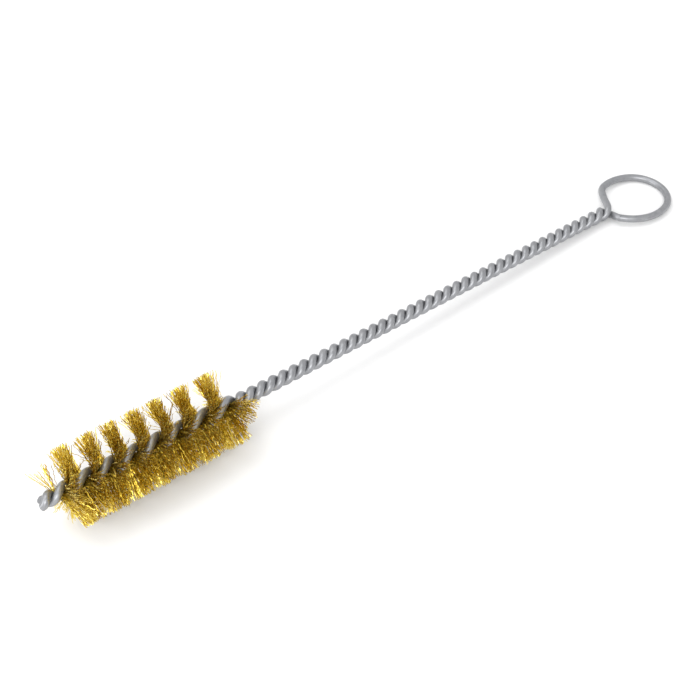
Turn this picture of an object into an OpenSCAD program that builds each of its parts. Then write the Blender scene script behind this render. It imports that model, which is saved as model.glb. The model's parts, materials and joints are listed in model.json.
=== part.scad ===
// Twisted-wire tube brush with a ring handle.
// One steel wire is bent into a ring, and its two legs are twisted together.
// Crimped brass filaments are gripped between the legs and fan out as a screw.
// The brush lies on a flat surface, on its bristles and on the far end of the ring.

/* [Wire] */
// Diameter of the steel wire
wire_d = 2.0; // [1.6:0.1:2.0]
// Length of each half turn of twist from the cut end to the first full tuft
tip_lays = [2.5, 3.9];
// Length of the first half turn after the last full tuft
runout_lay = 3.5; // [3.2:0.1:5]
// Length of each further half turn along the bare stem
stem_lay = 3.155; // [3.15:0.005:4]
// Half turns from the last full tuft to the ring
stem_half_turns = 41; // [20:1:60]
// Number of flats on each drawn leg
leg_sides = 8; // [6:1:12]
// Rings drawn in each half turn of a leg
leg_rings = 6; // [4:1:8]

/* [Bristles] */
// Radius at the bristle tips
bristle_r = 9.6; // [8:0.2:14]
// Length of the half turn that each full tuft fills, from the cut end to the ring
tuft_lays = [6.4, 6.2, 6.2, 6.1, 6.3, 7.0, 6.8];
// Thickness of the filament layer between the two legs
layer_t = 1.0; // [0.4:0.1:1.2]
// Thickness of the sparse layer in the tip tuft and in the tail
thin_layer_t = 0.4; // [0.2:0.1:0.4]
// Angle that a full tuft spreads each side of its middle
tuft_spread = 58; // [40:1:62]
// Radius and spread of the sparse tuft beside the cut end
tip_tuft_size = [8.6, 26];
// Radius and spread of the short tail of bristles beside the stem
tail_tuft_size = [7.6, 40];

/* [Ring] */
// Radius of the bend at the far end
end_r = 8.8; // [8:0.1:10]
// Radius of the long sides
side_r = 12.5; // [11:0.1:14]
// Radius of the shoulder on the side that crosses over the stem
shoulder_r = 5; // [4:0.1:6]
// Distance from the last half turn of the stem to the far end of the ring
ring_reach = 19.95; // [19.5:0.05:22]

/* [Hidden] */
steel = [0.66, 0.67, 0.69];
brass = [0.74, 0.58, 0.16];
wire_r = wire_d / 2;

// A crest is where the two legs stand at the neck's angle, once in each half turn.
// Crest k is k half turns from the cut end.
lays = concat(tip_lays, tuft_lays, [runout_lay]);
tip_turns = len(tip_lays);
tuft_count = len(tuft_lays);
fill_turns = tip_turns + tuft_count;
total_turns = fill_turns + stem_half_turns;
function sum_to(v, n) = n <= 0 ? 0 : v[n - 1] + sum_to(v, n - 1);
function crest_x(k) =
    k < 0 ? k * lays[0]
    : sum_to(lays, min(k, len(lays))) + max(k - len(lays), 0) * stem_lay;
fill_from = crest_x(tip_turns);
fill_to = crest_x(fill_turns);

// The lay changes gently: a smooth curve runs through the crests
function crest_curve(u) =
    let (
        k = floor(u),
        t = u - k,
        a = crest_x(k - 1),
        b = crest_x(k),
        c = crest_x(k + 1),
        d = crest_x(k + 2)
    )
    b + t * (c - a) / 2 + t * t * (a - 2.5 * b + 2 * c - d / 2)
    + t * t * t * (1.5 * (b - c) + (d - a) / 2);

// The twist opens over its last half turns, where the legs part towards the ring
open_turns = 4;
open_len = 0.65;
open_power = 1.5;
function opening(u) =
    open_len * pow(max(u - total_turns + open_turns, 0) / open_turns, open_power);
function twist_x(u) = crest_curve(u) + opening(u);
neck_x = twist_x(total_turns);
ring_end_x = neck_x + ring_reach;

// The filament layer pushes the legs apart, from near the cut end to just past the tufts
function ramp(a, b, x) = let (t = min(max((x - a) / (b - a), 0), 1)) t * t * (3 - 2 * t);
layer_in = [fill_from - 3.9, fill_from + 2.6];
layer_out = [fill_to - 1, fill_to + 4.5];
function layer_share(x) =
    ramp(layer_in[0], layer_in[1], x) * (1 - ramp(layer_out[0], layer_out[1], x));
neck_angle = 39;
function leg_angle(u) = neck_angle + 180 * (total_turns - u);
function leg_orbit(u) = wire_r + layer_t / 2 * layer_share(twist_x(u));
function leg_point(u) =
    [twist_x(u), leg_orbit(u) * cos(leg_angle(u)), leg_orbit(u) * sin(leg_angle(u))];

// Each half of the ring is a chain of bends from the far end, then a straight.
// A bend is [radius, swept angle]; one side has a shoulder and the other is full.
end_sweep = 65;
over_bends = [[end_r, end_sweep], [side_r, 37], [shoulder_r, 44]];
under_bends = [[end_r, end_sweep], [side_r, 75]];
over_straight = 2.3;
under_straight = 0.5;
bend_step = 8;

// Points along a chain of bends, as [position, heading angle]
function along(centre, r, a) = centre + r * [cos(a), sin(a)];
function bend_points(bends, i, at, a) =
    i == len(bends) ? [[at, a + 90]]
    : let (
        r = bends[i][0],
        sweep = bends[i][1],
        centre = along(at, -r, a),
        n = ceil(sweep / bend_step)
    )
    concat(
        [for (j = [0 : n - 1]) [along(centre, r, a + sweep * j / n), a + 90 + sweep * j / n]],
        bend_points(bends, i + 1, along(centre, r, a + sweep), a + sweep)
    );
function half_ring(bends, straight) =
    let (curve = bend_points(bends, 0, [ring_end_x, 0], 0), end = curve[len(curve) - 1])
    concat(curve, [[along(end[0], straight, end[1]), end[1]]]);
over_half = half_ring(over_bends, over_straight);
under_half = half_ring(under_bends, under_straight);

// Half turns before the neck at which a leg leaves the twist, and the length of the
// neck curve's handles next to the twist and next to the ring
neck_lead = 0.25;
neck_pull = [1.5, 1.5];
neck_steps = 8;
function unit(v) = v / norm(v);
function bezier(p, t) =
    pow(1 - t, 3) * p[0] + 3 * t * pow(1 - t, 2) * p[1]
    + 3 * t * t * (1 - t) * p[2] + pow(t, 3) * p[3];
exit_u = total_turns - neck_lead;
exit_point = leg_point(exit_u);
exit_dir = unit(leg_point(exit_u + 0.05) - leg_point(exit_u - 0.05));
twist_steps = ceil(exit_u * leg_rings);
function ring_dir(half) = let (a = half[len(half) - 1][1]) [-cos(a), -sin(a), 0];
function leg_path(half, cut) =
    let (
        end = half[len(half) - 1][0],
        ring_point = [end[0], end[1], 0],
        curve = [
            exit_point,
            exit_point + neck_pull[0] * exit_dir,
            ring_point - neck_pull[1] * ring_dir(half),
            ring_point
        ]
    )
    concat(
        [for (i = [0 : twist_steps]) leg_point(cut + (exit_u - cut) * i / twist_steps)],
        [for (i = [1 : neck_steps]) bezier(curve, i / neck_steps)]
    );

// One ring of points around the wire at p, for a wire that heads along t
function wire_ring(p, t, out, sides) =
    let (n = unit(out - (out * t) * t), b = cross(t, n))
    [for (j = [0 : sides - 1])
        let (a = 360 * (j + 0.5) / sides)
        p + wire_r * (cos(a) * n + sin(a) * b)];

// A wire drawn through rings that each have the same number of points
module drawn_wire(rings) {
    sides = len(rings[0]);
    end = len(rings) - 1;
    walls = [for (i = [0 : end - 1], j = [0 : sides - 1])
        let (a = i * sides + j, b = i * sides + (j + 1) % sides)
        each [[a, a + sides, b], [b, a + sides, b + sides]]];
    near_cap = [for (j = [0 : sides - 1]) j];
    far_cap = [for (j = [sides - 1 : -1 : 0]) end * sides + j];
    polyhedron([for (ring = rings) each ring], concat(walls, [near_cap, far_cap]));
}

// A leg in the half plane that its end of the ring lies in, from its cut end
module leg(half, cut) {
    path = leg_path(half, cut);
    last = len(path) - 1;
    drawn_wire([for (i = [0 : last])
        let (
            p = path[i],
            t = i == last ? ring_dir(half) : unit(path[i + 1] - path[max(i - 1, 0)])
        )
        wire_ring(p, t, [0, p[1], p[2]], leg_sides)]);
}

// Cross-section of a tuft, as seen along the stem: lobes joined by the filament layer
// between the legs. The root points clear the round of each leg.
root_edge = wire_r * [[0, -0.03], [0.7, 0.13], [1.16, 0.6], [1.35, 1.05]];
root_spread = 40;
rim_steps = 8;
function lobe(r, spread, layer) =
    let (
        last = len(root_edge) - (spread < root_spread ? 2 : 1),
        edge = [for (i = [0 : last]) root_edge[i] + [0, layer / 2]]
    )
    concat(
        [for (p = edge) [p[0], -p[1]]],
        [for (i = [0 : rim_steps]) let (a = spread * (2 * i / rim_steps - 1)) r * [cos(a), sin(a)]],
        [for (i = [len(edge) - 1 : -1 : 0]) edge[i]]
    );

// A tuft fills the twist from one half turn to another, on one or both sides of it
tuft_gap = 0.05;
slices_per_half_turn = 12;
module tuft(u_from, u_to, size, sides, layer) {
    x_from = crest_curve(u_from) + tuft_gap;
    x_to = crest_curve(u_to) - tuft_gap;
    turns = u_to - u_from;
    outline = lobe(size[0], size[1], layer);
    translate([x_from, 0, 0]) rotate([90, 0, 90]) rotate(leg_angle(u_from) + 90)
        linear_extrude(x_to - x_from, twist = 180 * turns, slices = ceil(slices_per_half_turn * turns))
            for (side = sides) rotate(side) polygon(outline);
}

// Turn the brush from lying along +X to its resting pose on the surface
brush_rest_x = fill_to - tuft_lays[tuft_count - 1] / 4;
rest_tilt = atan((bristle_r - wire_r) / (ring_end_x - brush_rest_x));
rest_height = ring_end_x * sin(rest_tilt) + wire_r;
middle_x = (ring_end_x * cos(rest_tilt) + wire_r * (1 - sin(rest_tilt))) / 2;
module resting() {
    translate([-middle_x, 0, rest_height]) rotate([0, rest_tilt, 0]) children();
}

module ring_handle() {
    over = [for (s = over_half) wire_ring(
        [s[0][0], s[0][1], 0], [cos(s[1]), sin(s[1]), 0], [0, 0, 1], 2 * leg_sides)];
    under = [for (s = under_half) wire_ring(
        [s[0][0], -s[0][1], 0], [-cos(s[1]), sin(s[1]), 0], [0, 0, 1], 2 * leg_sides)];
    color(steel) resting()
        drawn_wire(concat([for (i = [len(under) - 1 : -1 : 1]) under[i]], over));
}

// The two legs are cut one just behind the other, at these half turns along the twist
leg_cuts = [0.25, 0];

module wire_leg_a() {
    color(steel) resting() leg(over_half, leg_cuts[0]);
}

module wire_leg_b() {
    color(steel) resting() rotate([180, 0, 0]) leg(under_half, leg_cuts[1]);
}

module tip_tuft() {
    color(brass) resting() tuft(tip_turns - 1, tip_turns, tip_tuft_size, [180], thin_layer_t);
}

module full_tuft(i) {
    color(brass) resting()
        tuft(tip_turns + i - 1, tip_turns + i, [bristle_r, tuft_spread], [0, 180], layer_t);
}

tail_turns = 0.95;
module tail_tuft() {
    color(brass) resting()
        tuft(fill_turns, fill_turns + tail_turns, tail_tuft_size, [0], thin_layer_t);
}

ring_handle();
wire_leg_a();
wire_leg_b();
tip_tuft();
for (i = [1 : tuft_count]) full_tuft(i);
tail_tuft();
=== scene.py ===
# %% [markdown]
# # A twisted-wire brass brush
# This lesson dresses a small bench brush. The real one is a single steel wire, bent into
# a ring and twisted along its two legs, with crimped brass filaments gripped in the twist.
# The frame comes first: it holds the solids, and every new piece is laid along them.

# %% The frame
import json
import math
import random

import bpy
import numpy as np
from mathutils import Matrix, Vector


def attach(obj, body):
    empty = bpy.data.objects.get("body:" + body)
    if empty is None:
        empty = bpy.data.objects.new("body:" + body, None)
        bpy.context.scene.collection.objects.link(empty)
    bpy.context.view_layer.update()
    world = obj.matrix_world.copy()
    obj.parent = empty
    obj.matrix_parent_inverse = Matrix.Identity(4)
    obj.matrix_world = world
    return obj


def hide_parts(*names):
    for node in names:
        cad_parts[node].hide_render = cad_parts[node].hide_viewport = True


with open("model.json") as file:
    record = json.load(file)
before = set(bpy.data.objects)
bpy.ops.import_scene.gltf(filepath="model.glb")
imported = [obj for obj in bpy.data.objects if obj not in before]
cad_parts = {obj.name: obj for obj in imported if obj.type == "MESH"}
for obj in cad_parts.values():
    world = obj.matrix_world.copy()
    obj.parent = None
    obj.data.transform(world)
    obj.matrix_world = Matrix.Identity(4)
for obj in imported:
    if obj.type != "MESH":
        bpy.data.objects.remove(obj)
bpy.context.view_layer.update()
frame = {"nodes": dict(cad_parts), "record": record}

MM = 0.001
scene = bpy.context.scene
for spare in ("Cube", "Light", "Camera"):
    if spare in bpy.data.objects:
        bpy.data.objects.remove(bpy.data.objects[spare])

# %% [markdown]
# ## Where the brush lies
# The brush rests on its bristles and on its ring, so its stem is tilted a little.
# The record states a mount at the nose, on the stem's axis and pointing out of the tip.
# All pieces are drawn along a straight stem, and one matrix then lays them on the bench.

# %% The stem's axis
nose = next(m for m in frame["record"]["mounts"] if m["name"] == "brush_nose")
stem_dir = -Vector(nose["axis"]).normalized()
side_dir = Vector((0, 1, 0))
TO_BENCH = Matrix.Translation(nose["pos_m"]) @ Matrix(
    (stem_dir, side_dir, stem_dir.cross(side_dir))
).transposed().to_4x4()
TO_STEM = TO_BENCH.inverted()


def node_points(name):
    """A CAD node's corners, measured along the straight stem in mm."""
    mesh = frame["nodes"][name].data
    return np.array([(TO_STEM @ v.co) / MM for v in mesh.vertices])


def span(name):
    points = node_points(name)
    return points[:, 0].min(), points[:, 0].max()


tuft_names = sorted(n for n in frame["nodes"] if n[:5] == "tuft_")
print("tufts:", {n: [round(float(x), 2) for x in span(n)] for n in tuft_names})

# %% [markdown]
# ## The twist
# Everything on this brush follows the twist, so it is worked out before any piece. A place
# on it is called u and is counted in half turns from the cut end. Once in each half turn the
# legs stand at the neck's angle, and that is a crest. The tufts' ends give the crests of the
# fill, and the bare stem has a steady lay. The last turns open up towards the ring.
#
# In the fill the legs are held apart by the layer of filaments between them. The two
# ranges say where that gap opens and closes, in mm from the two ends of the fill.

# %% The crests of the twist
WIRE_R = 1.0
TIP_LAYS = (2.5, 3.9)
RUNOUT_LAY = 3.5
STEM_LAY = 3.155
STEM_HALF_TURNS = 41
LAYER = 1.0
LAYER_IN = (-3.9, 2.6)
LAYER_OUT = (-1, 4.5)
OPEN_TURNS = 4
OPEN_LEN = 0.65
OPEN_POWER = 1.5
NECK_ANGLE = 39

fill_ends = [span(tuft_names[0])[0]] + [span(n)[1] for n in tuft_names]
fill_from, fill_to = fill_ends[0], fill_ends[-1]
tip_turns = len(TIP_LAYS)
fill_turns = tip_turns + len(tuft_names)
total_turns = fill_turns + STEM_HALF_TURNS
crests = [-TIP_LAYS[0], 0, TIP_LAYS[0]] + fill_ends
crests += [fill_to + RUNOUT_LAY + i * STEM_LAY for i in range(STEM_HALF_TURNS + 2)]


def twist_x(u):
    """Place along the stem, in mm, of u: a Catmull-Rom curve through the crests."""
    k = math.floor(u)
    t = u - k
    a, b, c, d = crests[k : k + 4]
    x = b + t * (c - a) / 2 + t**2 * (a - 2.5 * b + 2 * c - d / 2)
    x += t**3 * (1.5 * (b - c) + (d - a) / 2)
    opened = max(u - total_turns + OPEN_TURNS, 0) / OPEN_TURNS
    return float(x + OPEN_LEN * opened**OPEN_POWER)


def twist_angle(u):
    return math.radians(NECK_ANGLE + 180 * (total_turns - u))


def ramp(a, b, x):
    t = min(max((x - a) / (b - a), 0), 1)
    return t * t * (3 - 2 * t)


def leg_point(u):
    """The middle of a leg's wire at u. The other leg stands opposite."""
    x = twist_x(u)
    share = ramp(fill_from + LAYER_IN[0], fill_from + LAYER_IN[1], x)
    share -= ramp(fill_to + LAYER_OUT[0], fill_to + LAYER_OUT[1], x)
    r = WIRE_R + LAYER / 2 * share
    return Vector((x, r * math.cos(twist_angle(u)), r * math.sin(twist_angle(u))))


print(f"{total_turns:.1f} half turns, neck at {twist_x(total_turns):.1f} mm")

# %% [markdown]
# ## The ring's outline
# The ring is a chain of bends that starts at its far end, as it would be bent on a jig.
# One side has a shoulder and crosses over the stem, and the other sweeps in full and low.
# Each bend is a radius in mm and a sweep in degrees.

# %% The chain of bends
END_R, SIDE_R, SHOULDER_R = 8.8, 12.5, 5.0
OVER_BENDS = ((END_R, 65), (SIDE_R, 37), (SHOULDER_R, 44))
UNDER_BENDS = ((END_R, 65), (SIDE_R, 75))
OVER_STRAIGHT, UNDER_STRAIGHT = 2.3, 0.5
ring_end = max(node_points("ring_handle")[:, 0]) - WIRE_R
BEND_STEP = 3


def half_ring(bends, straight):
    """Points from the far end to the neck on the +Y side, and the last heading."""
    at, angle, points = Vector((ring_end, 0, 0)), 0.0, []
    for radius, sweep in bends:
        centre = at - radius * Vector((math.cos(angle), math.sin(angle), 0))
        steps = math.ceil(sweep / BEND_STEP)
        for i in range(steps):
            a = angle + math.radians(sweep) * i / steps
            points.append(centre + radius * Vector((math.cos(a), math.sin(a), 0)))
        angle += math.radians(sweep)
        at = centre + radius * Vector((math.cos(angle), math.sin(angle), 0))
    heading = Vector((-math.sin(angle), math.cos(angle), 0))
    return points + [at, at + straight * heading], heading


over_ring, over_heading = half_ring(OVER_BENDS, OVER_STRAIGHT)
under_ring, under_heading = half_ring(UNDER_BENDS, UNDER_STRAIGHT)
print("ring points:", len(over_ring) + len(under_ring))

# %% [markdown]
# ## A leg's path
# A leg follows the twist up to the neck, then swings out to meet its end of the ring.
# The swing is a Bezier curve whose handles lie along the twist and along the ring. The leg
# that crosses over is cut a quarter of a half turn short of the other.

# %% The path of a leg
NECK_LEAD = 0.25
NECK_PULL = 1.5
NECK_PROBE = 0.05
NECK_STEPS = 24
TURN_STEPS = 16


def leg_path(cut, ring_points, heading):
    leave = total_turns - NECK_LEAD
    a = leg_point(leave)
    along_leg = leg_point(leave + NECK_PROBE) - leg_point(leave - NECK_PROBE)
    b = a + NECK_PULL * along_leg.normalized()
    d = ring_points[-1]
    c = d + NECK_PULL * heading
    steps = math.ceil(leave * TURN_STEPS)
    path = [leg_point(cut + (leave - cut) * i / steps) for i in range(steps + 1)]
    for i in range(1, NECK_STEPS + 1):
        t = i / NECK_STEPS
        path.append(
            (1 - t) ** 3 * a + 3 * t * (1 - t) ** 2 * b + 3 * t * t * (1 - t) * c + t**3 * d
        )
    return path


OVER_CUT = 0.25
HALF_TURN = Matrix.Rotation(math.pi, 3, "X")
MIRROR = Matrix.Diagonal((1, -1, 1))
leg_a_path = leg_path(OVER_CUT, over_ring, over_heading)
leg_b_path = [HALF_TURN @ p for p in leg_path(0, under_ring, under_heading)]
ring_path = [MIRROR @ p for p in reversed(under_ring[1:])] + over_ring
wire_length = sum(
    (b - a).length for path in (leg_a_path, leg_b_path, ring_path) for a, b in zip(path, path[1:])
)
print(f"the wire is {wire_length:.0f} mm long, with {len(leg_a_path)} points in a leg")

# %% [markdown]
# ## Drawing the wire
# A wire could be a row of extruded cylinders, but a curve with a round bevel is what it is:
# one path and one thickness. The curve operator adds a path, its points are set along the
# twist, and converting it gives a closed tube with a cap at each end. Each ring of corners
# also stores where it sits around and along the wire, for the drawn streaks in the steel.

# %% A helper that draws one wire
def deselect():
    if bpy.context.object and bpy.context.object.mode != "OBJECT":
        bpy.ops.object.mode_set(mode="OBJECT")
    bpy.ops.object.select_all(action="DESELECT")


def lay_on_bench(piece):
    """Takes a piece from mm along the stem to metres on the bench."""
    piece.data.transform(TO_BENCH @ Matrix.Scale(MM, 4))
    piece.data.update()


BEVEL_RESOLUTION = 6
SMOOTH_ANGLE = math.radians(40)


def draw_wire(name, path):
    deselect()
    bpy.ops.curve.primitive_nurbs_path_add(location=(0, 0, 0))
    wire = bpy.context.object
    wire.name = name
    curve = wire.data
    curve.splines.clear()
    spline = curve.splines.new("POLY")
    spline.points.add(len(path) - 1)
    for point, place in zip(spline.points, path):
        point.co = (*place, 1)
    curve.dimensions = "3D"
    curve.twist_mode = "MINIMUM"
    curve.bevel_depth = WIRE_R
    curve.bevel_resolution = BEVEL_RESOLUTION
    curve.use_fill_caps = True
    bpy.ops.object.convert(target="MESH")
    wire = bpy.context.object
    wire.name = name
    store_drawing(wire.data, path)
    lay_on_bench(wire)
    bpy.ops.object.mode_set(mode="EDIT")
    bpy.ops.mesh.select_all(action="SELECT")
    bpy.ops.mesh.normals_make_consistent(inside=False)
    bpy.ops.object.mode_set(mode="OBJECT")
    bpy.ops.object.shade_smooth_by_angle(angle=SMOOTH_ANGLE)
    print(name, len(wire.data.polygons), "faces")
    return wire


def store_drawing(mesh, path):
    """Stores the point (cos, sin, length) that the streaks of the steel are read from."""
    sides = len(mesh.vertices) // len(path)
    lengths = np.cumsum([0] + [(b - a).length for a, b in zip(path, path[1:])])
    drawn = mesh.attributes.new("drawn", "FLOAT_VECTOR", "POINT")
    index = np.arange(len(mesh.vertices))
    around = 2 * math.pi * (index % sides) / sides
    row = np.minimum(index // sides, len(path) - 1)
    values = np.stack([np.cos(around), np.sin(around), lengths[row]], axis=1)
    drawn.data.foreach_set("vector", values.astype(np.float32).ravel())


# %% The ring and the two legs
ring = draw_wire("ring", ring_path)
leg_a = draw_wire("leg_over", leg_a_path)
leg_b = draw_wire("leg_under", leg_b_path)
wires = {ring: "ring_handle", leg_a: "wire_leg_a", leg_b: "wire_leg_b"}
for wire, node in wires.items():
    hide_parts(node)
    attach(wire, "root")

# %% [markdown]
# ## One crimped filament
# A filament is a hair of brass, pressed between gears so that it waves from side to side.
# A circle of three corners is extruded again and again, a little left and then a little
# right, which gives a waved hair of about sixty faces. It is modelled once.

# %% The filament
FILAMENT_R = 0.085
CRIMP_LEN = 1.8
CRIMP_DEPTH = 0.12
CRIMP_STEPS = 4
FILAMENT_STEPS = 20
STEP_LEN = CRIMP_LEN / CRIMP_STEPS


def crimp(i):
    return CRIMP_DEPTH * math.sin(2 * math.pi * (i + 0.5) / CRIMP_STEPS)


deselect()
bpy.ops.mesh.primitive_circle_add(vertices=3, radius=FILAMENT_R, fill_type="NGON")
filament = bpy.context.object
filament.name = "filament"
bpy.ops.object.mode_set(mode="EDIT")
bpy.ops.mesh.select_all(action="SELECT")
for i in range(FILAMENT_STEPS):
    shift = (crimp(i + 1) - crimp(i), 0, STEP_LEN)
    bpy.ops.mesh.extrude_region_move(TRANSFORM_OT_translate={"value": shift})
bpy.ops.mesh.select_all(action="SELECT")
bpy.ops.mesh.normals_make_consistent(inside=False)
bpy.ops.object.mode_set(mode="OBJECT")
hair = np.array([v.co for v in filament.data.vertices])
hair_faces = [list(p.vertices) for p in filament.data.polygons]
bpy.data.objects.remove(filament)
print("one filament:", len(hair_faces), "faces,", round(float(hair[:, 2].max()), 1), "mm")

# %% [markdown]
# ## Planting a filament
# A copy is stretched to its length, turned about itself, bent a little, and set on the
# stem with its root between the legs. Each copy keeps its own corners. It also stores how
# far out each corner is and a number of its own, which later vary the brass. The brush is
# trimmed to the reach of its middle tuft.

# %% A helper that plants one copy
middle_tuft = tuft_names[len(tuft_names) // 2]
trim_r = float(np.abs(node_points(middle_tuft)[:, 1]).max())


def plant(x, angle, lean, turn, r, bow, sunk, aside=0):
    """Corners of one filament that stands at x on the stem and points to angle."""
    out = np.array((0, math.cos(angle), math.sin(angle)))
    beside = np.array((0, -math.sin(angle), math.cos(angle)))
    t = hair[:, 2] / hair[:, 2].max()
    rise = t * (r + sunk) - sunk
    bend = (rise / trim_r) * np.abs(rise / trim_r)
    ahead = hair[:, 0] * math.cos(turn) - hair[:, 1] * math.sin(turn)
    ahead = ahead + math.tan(lean) * rise + bow[0] * bend
    across = hair[:, 0] * math.sin(turn) + hair[:, 1] * math.cos(turn) + bow[1] * bend + aside
    corners = rise[:, None] * out + across[:, None] * beside
    corners[:, 0] = x + ahead
    return corners, rise / trim_r


def make_tuft(name, filaments):
    """One piece from many filaments, each given as the settings of plant()."""
    corners, along = zip(*(plant(*settings) for settings in filaments))
    faces = [
        [corner + i * len(hair) for corner in face]
        for i in range(len(filaments))
        for face in hair_faces
    ]
    tint = np.repeat([rng.random() for _ in filaments], len(hair))
    mesh = bpy.data.meshes.new(name)
    mesh.from_pydata(np.concatenate(corners).tolist(), [], faces)
    for label, values in (("along", np.concatenate(along)), ("tint", tint)):
        stored = mesh.attributes.new(label, "FLOAT", "POINT")
        stored.data.foreach_set("value", values.astype(np.float32))
    tuft = bpy.data.objects.new(name, mesh)
    scene.collection.objects.link(tuft)
    lay_on_bench(tuft)
    print(name, len(filaments), "filaments,", len(mesh.polygons), "faces")
    return tuft


print(f"trimmed at {trim_r:.2f} mm")

# %% [markdown]
# ## The full tufts
# The filaments come off a reel as a thin layer, so a tuft is made of small bunches whose
# waves run together. Each bunch starts at its own place and points across the twist there.
# The brush is trimmed round after twisting, so the ends lie close to one radius. On one
# side the first tuft starts early, and those filaments lean in to close up on it.

# %% A tuft's filaments
SEED = 7
rng = random.Random(SEED)
BUNCHES = 100
BUNCH_SIZE = 3
LEAN = math.radians(-1)
SPLAY = math.radians(6)
SPLAY_LIMIT = 2.2
FAN = math.radians(6)
BOW_AHEAD, BOW_ACROSS = 0.35, 0.5
ASIDE = 0.35
EARLY = (0.5, -0.05)
EARLY_LEAN = math.radians(24)
EARLY_RAMP = 0.45

# Inside a bunch the filaments differ by these much smaller amounts.
X_SCATTER = 0.15
ANGLE_SCATTER = math.radians(3)
TURN_SCATTER = 0.6
BOW_SCATTER = 0.12
SUNK_SCATTER = 0.1
TRIM_MISS = (-0.05, 0.16)


def near(value, scatter):
    return value + rng.gauss(0, scatter)


def full_tuft(first_u, early=(0, 0)):
    """Filaments of one half turn. Each side may start early, by a share of a half turn."""
    filaments = []
    for side in (0, 1):
        turns = 1 + early[side]
        bunches = round(BUNCHES * turns)
        for bunch in range(bunches):
            u = first_u + 1 - turns * (bunch + rng.random()) / bunches
            angle = near(twist_angle(u) + math.pi * (side + 0.5), FAN)
            lean = LEAN + max(-SPLAY_LIMIT, min(SPLAY_LIMIT, rng.gauss(0, 1))) * SPLAY
            if early[side] > 0:
                lean += EARLY_LEAN * ramp(0, EARLY_RAMP, first_u - u)
            turn = rng.uniform(0, 2 * math.pi)
            sunk = rng.uniform(0, CRIMP_LEN)
            bow = (rng.gauss(0, BOW_AHEAD), rng.gauss(0, BOW_ACROSS))
            aside = rng.uniform(-ASIDE, ASIDE)
            for _ in range(BUNCH_SIZE):
                filaments.append(
                    (
                        near(twist_x(u), X_SCATTER),
                        near(angle, ANGLE_SCATTER),
                        near(lean, ANGLE_SCATTER),
                        near(turn, TURN_SCATTER),
                        trim_r + rng.gauss(*TRIM_MISS),
                        (near(bow[0], BOW_SCATTER), near(bow[1], BOW_SCATTER)),
                        near(sunk, SUNK_SCATTER),
                        aside,
                    )
                )
    return filaments


tufts = {}
for i, node in enumerate(tuft_names):
    filaments = full_tuft(tip_turns + i, EARLY if i == 0 else (0, 0))
    tufts[make_tuft(f"bristles_{i + 1}", filaments)] = node

# %% [markdown]
# ## The two ends of the fill
# The reel starts and stops inside the twist. At the cut end a few filaments stand apart
# on one side, and at the stem the last ones are squeezed over towards the ring. One stray
# filament leans out over them.

# %% The sparse tuft and the tail
TIP_COUNT, TIP_FAN = 18, 0.3
TIP_BACK, TIP_LEAN, TIP_REACH = (0.42, 0.58), (-0.12, 0.2), (6, 8.6)
TAIL_COUNT, TAIL_FAN = 90, 0.15
TAIL_PAST, TAIL_LEAN, TAIL_REACH = (0.05, 0.75), (0.15, 0.65), (3.4, 5.6)
LOOSE_TURN, LOOSE_BOW, LOOSE_SUNK = 6.3, 0.4, 0.5
STRAY = (46.8, math.radians(39), math.radians(38), 0.4, 8.4, (0, 0), LOOSE_SUNK)


def loose_filament(u, angle, lean, reach, share=1):
    """Settings of one filament that belongs to no bunch."""
    turn = rng.uniform(0, LOOSE_TURN)
    r = rng.uniform(*reach) * share
    bow = (rng.gauss(0, LOOSE_BOW), rng.gauss(0, LOOSE_BOW))
    return twist_x(u), angle, lean, turn, r, bow, LOOSE_SUNK


tip_set = []
for _ in range(TIP_COUNT):
    u = tip_turns - rng.uniform(*TIP_BACK)
    angle = near(twist_angle(u) - math.pi / 2, TIP_FAN)
    tip_set.append(loose_filament(u, angle, rng.gauss(*TIP_LEAN), TIP_REACH))
tail_set = []
for _ in range(TAIL_COUNT):
    u = fill_turns + rng.uniform(*TAIL_PAST)
    angle = near(twist_angle(u) + math.pi / 2, TAIL_FAN)
    lean = rng.uniform(*TAIL_LEAN)
    tail_set.append(loose_filament(u, angle, lean, TAIL_REACH, math.cos(lean)))
tail_set.append(STRAY)
tufts[make_tuft("bristles_tip", tip_set)] = "tip_tuft"
tufts[make_tuft("bristles_tail", tail_set)] = "tail_tuft"
for tuft, node in tufts.items():
    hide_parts(node)
    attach(tuft, "root")

# %% [markdown]
# ## Shader sums in Python
# Node trees read better as sums. This class wraps a socket, so `1 - mask` adds a Math node.
# One method of the finish adds any other node with its settings and its inputs.

# %% The shader helpers
class Value:
    def __init__(self, socket):
        self.socket = socket

    def sum(self, operation, a, b):
        node = self.socket.id_data.nodes.new("ShaderNodeMath")
        node.operation = operation
        feed(node.inputs[0], a)
        feed(node.inputs[1], b)
        return Value(node.outputs[0])

    def __add__(self, other):
        return self.sum("ADD", self, other)

    def __rsub__(self, other):
        return self.sum("SUBTRACT", other, self)

    def __mul__(self, other):
        return self.sum("MULTIPLY", self, other)

    __radd__ = __add__


def feed(socket, value):
    if isinstance(value, Value):
        socket.id_data.links.new(value.socket, socket)
    else:
        socket.default_value = value


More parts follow.
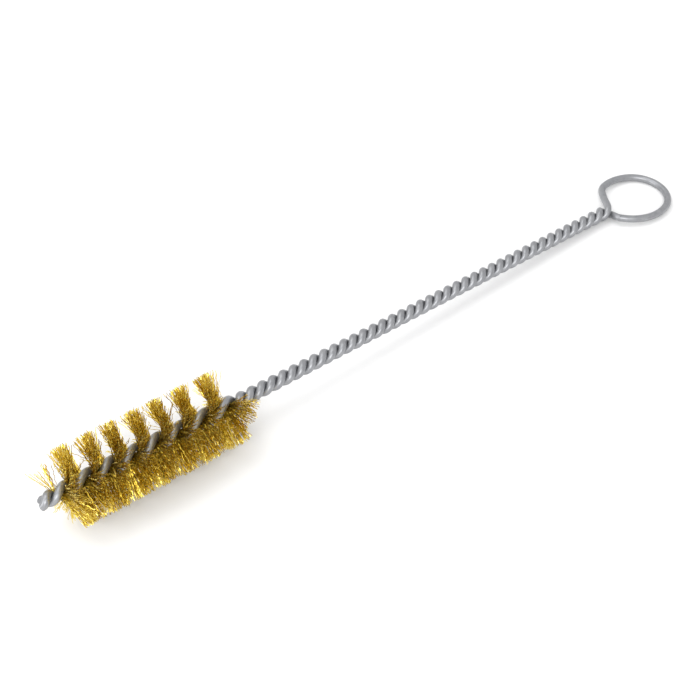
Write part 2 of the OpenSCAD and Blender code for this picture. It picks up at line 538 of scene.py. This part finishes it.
class Finish:
    def __init__(self, name, **constants):
        self.material = bpy.data.materials.new(name)
        self.material.use_nodes = True
        self.tree = self.material.node_tree
        self.shader = self.tree.nodes["Principled BSDF"]
        for socket, value in constants.items():
            self.shader.inputs[socket.replace("_", " ")].default_value = value

    def node(self, kind, settings=None, inputs=None, output=0):
        node = self.tree.nodes.new(kind)
        for key, value in (settings or {}).items():
            if key == "stops":
                self.set_stops(node.color_ramp, value)
            else:
                setattr(node, key, value)
        for key, value in (inputs or {}).items():
            feed(node.inputs[key], value)
        return Value(node.outputs[output])

    def set_stops(self, color_ramp, stops):
        while len(color_ramp.elements) < len(stops):
            color_ramp.elements.new(0.5)
        for element, (position, colour) in zip(color_ramp.elements, stops):
            element.position = position
            element.color = (*colour, 1)

    def set(self, socket, value):
        feed(self.shader.inputs[socket], value)

    def put_on(self, piece):
        piece.data.materials.clear()
        piece.data.materials.append(self.material)


# %% [markdown]
# ## Dull galvanised steel
# The wire is bright-drawn and then lightly zinc coated, so it is a soft grey with faint
# streaks along its length and a mottle a millimetre or two across. Streaks are noise read
# from the stored drawing point, squeezed along the wire. The same two noises set the grey,
# the roughness and a very low relief, each with shares of its own.

# %% The steel
MOTTLE = {"Scale": 700.0, "Detail": 3.0, "Roughness": 0.6}
STREAKS = {"Scale": 1.0, "Detail": 4.0, "Roughness": 0.65}
STREAK_SQUEEZE = (6.0, 6.0, 0.35)
STEEL_STOPS = (
    (0.3, (0.235, 0.24, 0.255)),
    (0.52, (0.315, 0.32, 0.335)),
    (0.75, (0.40, 0.405, 0.415)),
)
STEEL_BUMP = {"Strength": 0.12, "Distance": 0.0002}
GREY_MOTTLE, GREY_STREAK = 0.55, 0.45
SMOOTHEST, DULL_MOTTLE, DULL_STREAK = 0.26, 0.14, 0.12
RELIEF_MOTTLE, RELIEF_STREAK = 0.3, 0.7

steel = Finish("galvanised_steel", Metallic=0.75)
here = steel.node("ShaderNodeTexCoord", output="Object")
mottle = steel.node("ShaderNodeTexNoise", inputs={"Vector": here, **MOTTLE})
drawn = steel.node("ShaderNodeAttribute", {"attribute_name": "drawn"}, output="Vector")
streak_place = steel.node(
    "ShaderNodeMapping", {"vector_type": "POINT"}, {"Vector": drawn, "Scale": STREAK_SQUEEZE}
)
streak = steel.node("ShaderNodeTexNoise", inputs={"Vector": streak_place, **STREAKS})
grey = {"Fac": mottle * GREY_MOTTLE + streak * GREY_STREAK}
steel.set("Base Color", steel.node("ShaderNodeValToRGB", {"stops": STEEL_STOPS}, grey))
steel.set("Roughness", SMOOTHEST + mottle * DULL_MOTTLE + streak * DULL_STREAK)
relief = {"Height": streak * RELIEF_STREAK + mottle * RELIEF_MOTTLE, **STEEL_BUMP}
steel.set("Normal", steel.node("ShaderNodeBump", inputs=relief))
for wire in wires:
    steel.put_on(wire)
print("steel on", [wire.name for wire in wires])

# %% [markdown]
# ## Crimped brass
# The filaments are paler yellow towards their cut ends and darker brown towards their roots,
# the darker roots being painted shade where they crowd between the legs, and no two have
# quite the same colour. A material for each would be heavy, so one ramp is read from what
# each corner stores: how far out it is, and its filament's own number.

# %% The brass
PATCHES = {"Scale": 350.0, "Detail": 2.0}
BRASS_STOPS = (
    (0.10, (0.23, 0.16, 0.035)),
    (0.40, (0.62, 0.44, 0.055)),
    (0.75, (0.80, 0.61, 0.09)),
    (1.0, (0.88, 0.75, 0.26)),
)
ROOT_SHADE_SHARE, BRIGHT_TINT, BRIGHT_PATCH = 0.45, 0.45, 0.16
ROOT_ROUGHNESS, TIP_POLISH = 0.3, 0.05

brass = Finish("crimped_brass", Metallic=0.95)
along = brass.node("ShaderNodeAttribute", {"attribute_name": "along"}, output="Fac")
tint = brass.node("ShaderNodeAttribute", {"attribute_name": "tint"}, output="Fac")
here = brass.node("ShaderNodeTexCoord", output="Object")
patch = brass.node("ShaderNodeTexNoise", inputs={"Vector": here, **PATCHES})
# How far out a corner is darkens the roots: painted shade where the filaments crowd between the
# legs.
brightness = {"Fac": along * ROOT_SHADE_SHARE + tint * BRIGHT_TINT + patch * BRIGHT_PATCH}
brass.set("Base Color", brass.node("ShaderNodeValToRGB", {"stops": BRASS_STOPS}, brightness))
brass.set("Roughness", ROOT_ROUGHNESS - along * TIP_POLISH)
for tuft in tufts:
    brass.put_on(tuft)
print("brass on", [tuft.name for tuft in tufts])

# %% [markdown]
# ## The bench
# The brush lies on a wide pale sheet, which is not part of the brush. One plane is enough,
# and it is so wide that its edge stays out of the main view.

# %% The floor
SHEET_SIZE = 6
SHEET_GREY = 0.86
deselect()
bpy.ops.mesh.primitive_plane_add(size=SHEET_SIZE, location=(0, 0, 0))
floor = bpy.context.object
floor.name = "pale_sheet"
paper = Finish("pale_sheet", Roughness=0.9)
paper.set("Base Color", (SHEET_GREY, SHEET_GREY, SHEET_GREY, 1))
paper.put_on(floor)
print("the sheet is", SHEET_SIZE, "m wide")

# %% [markdown]
# ## The light
# Thin wire shows its roundness by what it mirrors. A point lamp would leave one hard spark
# on each turn, so three broad area lights and an even, bright surrounding are used. Each
# light is given by its place, the point it is aimed at, its size and its power.

# %% The lights
LIGHTS = (
    ("overhead", (-0.15, 0.25, 0.8), (-0.03, 0, 0), (0.6, 0.6), 2.0),
    ("front", (-0.45, -0.5, 0.55), (0, 0, 0), (0.5, 0.5), 3.5),
    ("left", (-0.8, 0.2, 0.35), (0, 0, 0), (0.3, 0.5), 2.0),
)
WORLD_STRENGTH = 0.9


def soft_light(name, place, aim, size, power):
    deselect()
    bpy.ops.object.light_add(type="AREA", location=place)
    light = bpy.context.object
    light.name = name
    light.data.shape = "RECTANGLE"
    light.data.size, light.data.size_y = size
    light.data.energy = power
    light.rotation_euler = (Vector(aim) - Vector(place)).to_track_quat("-Z", "Y").to_euler()


for settings in LIGHTS:
    soft_light(*settings)
world = scene.world or bpy.data.worlds.new("studio")
scene.world = world
world.use_nodes = True
background = world.node_tree.nodes["Background"]
background.inputs["Color"].default_value = (1, 1, 1, 1)
background.inputs["Strength"].default_value = WORLD_STRENGTH
print("lights:", [settings[0] for settings in LIGHTS])

# %% [markdown]
# ## The camera
# The camera looks down on the brush from in front, on the side of the cut end. The lens is
# long, which keeps the near tufts from looking much larger than the far ring.

# %% The camera
CAMERA_PLACE = (-0.16598, -0.196, 0.25738)
CAMERA_TURN = (44.552, 0.44, -38.33)
LENS, SENSOR = 72, 36
deselect()
bpy.ops.object.camera_add(
    location=CAMERA_PLACE, rotation=[math.radians(a) for a in CAMERA_TURN]
)
camera = bpy.context.object
camera.data.lens = LENS
camera.data.sensor_width = SENSOR
scene.camera = camera
scene.view_settings.view_transform = "Standard"
print("camera with a lens of", LENS, "mm")
